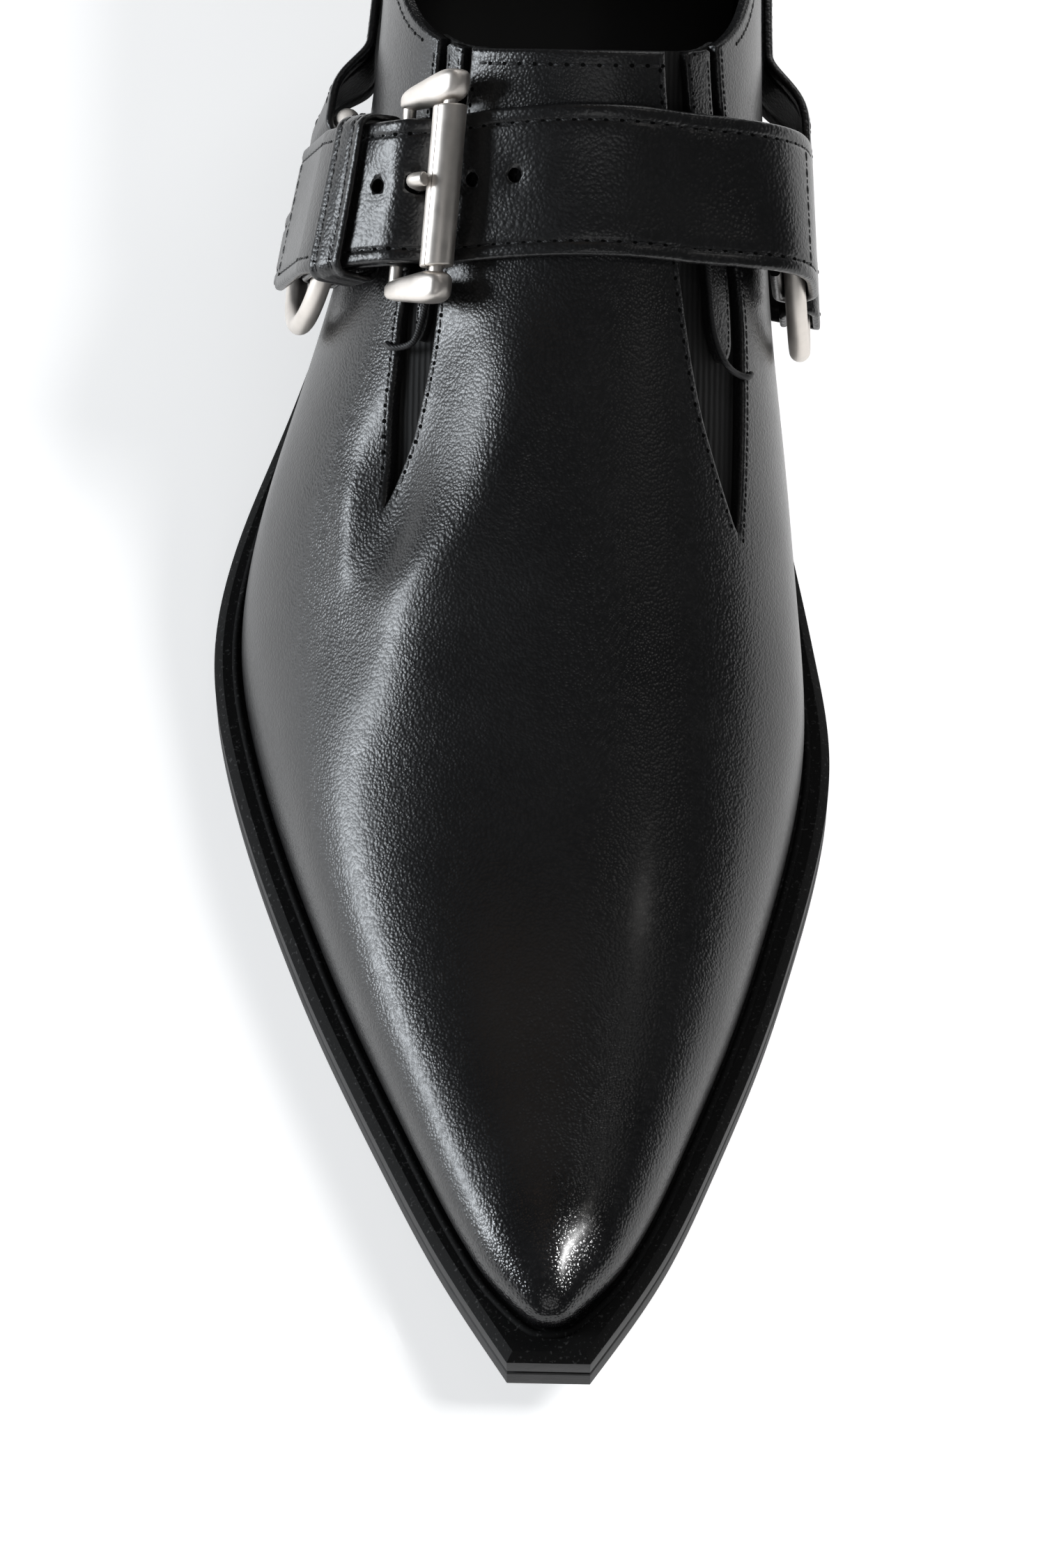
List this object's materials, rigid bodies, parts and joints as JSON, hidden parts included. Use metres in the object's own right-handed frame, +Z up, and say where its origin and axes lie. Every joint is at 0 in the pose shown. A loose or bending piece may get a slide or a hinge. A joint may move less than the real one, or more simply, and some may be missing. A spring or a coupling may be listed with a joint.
{
  "type": "shoe",
  "caption": "Right-foot pointed western slip-on in black leather, snip toe, stacked heel, elastic gores and a buckled harness strap between metal rings",
  "frame": {"origin": "centre of the bounding box, on the floor under the sole", "axes": "toe points to -Y, heel to +Y, the inner side of the foot to +X, up is +Z"},
  "size_m": [0.1058, 0.3104, 0.1035],
  "materials": {
    "leather": "smooth fine-grained black leather",
    "lining": "matte black lining leather",
    "elastic": "matte black elastic",
    "welt": "matte black edge-dyed welt",
    "sole": "matte black rubber",
    "heel": "stacked and edge-dyed black",
    "nickel": "antique nickel"
  },
  "bodies": {
    "root": {"outsole": "sole", "welt": "welt", "heel_stack": "heel", "heel_toplift": "sole", "insole": "lining", "upper": "leather", "gore_lateral": "elastic", "gore_medial": "elastic", "gore_tab_lateral": "leather", "gore_tab_medial": "leather", "instep_strap": "leather", "buckle_billet": "leather", "keeper": "leather", "buckle_frame": "nickel", "buckle_roller": "nickel", "buckle_prong": "nickel", "ring_lateral": "nickel", "ring_medial": "nickel", "heel_strap": "leather", "arch_strap_lateral": "leather", "arch_strap_medial": "leather", "rivet_lateral_0": "nickel", "rivet_lateral_1": "nickel", "rivet_medial_0": "nickel", "rivet_medial_1": "nickel"}
  },
  "joints": []
}
